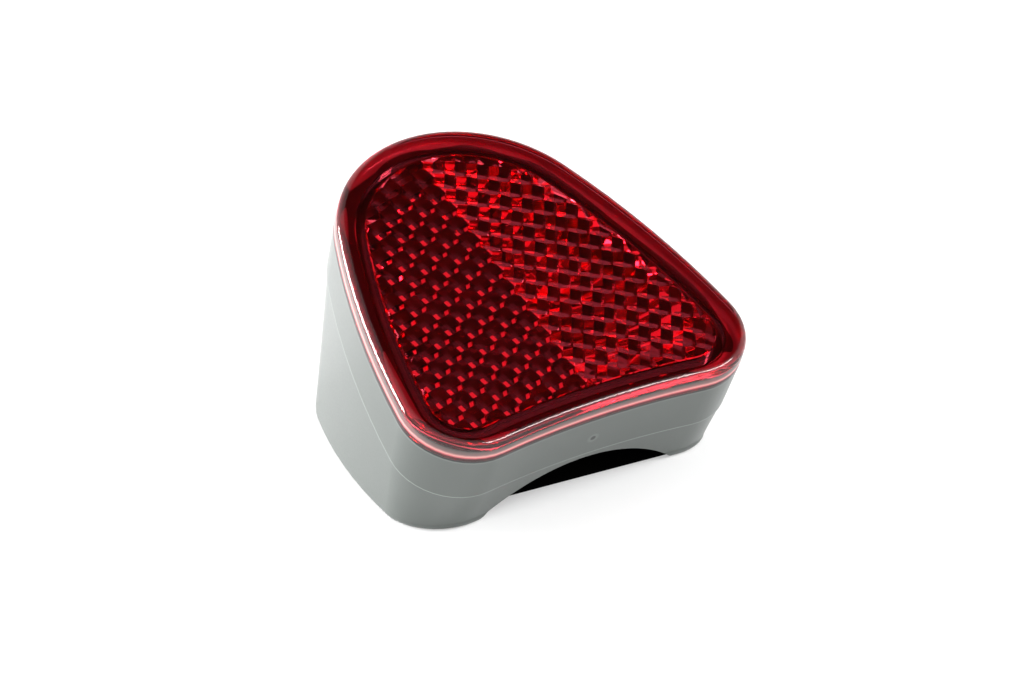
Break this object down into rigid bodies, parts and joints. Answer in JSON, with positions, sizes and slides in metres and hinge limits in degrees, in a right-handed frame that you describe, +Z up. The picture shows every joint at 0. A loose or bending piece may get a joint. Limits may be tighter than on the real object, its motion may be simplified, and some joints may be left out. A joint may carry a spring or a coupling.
{
  "type": "mudguard reflector",
  "caption": "Red prism reflector lens with rounded triangular outline, on a grey wedge housing that sits astride a bicycle mudguard and is held by a screw from below.",
  "frame": {"origin": "where the screw axis meets the plane that the housing's lower edges stand on", "axes": "+X across the reflector, +Y from the wide end of the lens to its narrow end, +Z up, away from the mudguard"},
  "size_m": [0.044, 0.0505, 0.0335],
  "materials": {
    "lens_red": "clear red acrylic, polished front, prisms behind",
    "housing_grey": "grey moulded plastic, satin gloss",
    "nut_steel": "plated steel"
  },
  "bodies": {
    "root": {"lens": "lens_red", "housing": "housing_grey", "fixing_nut": "nut_steel"}
  },
  "joints": []
}
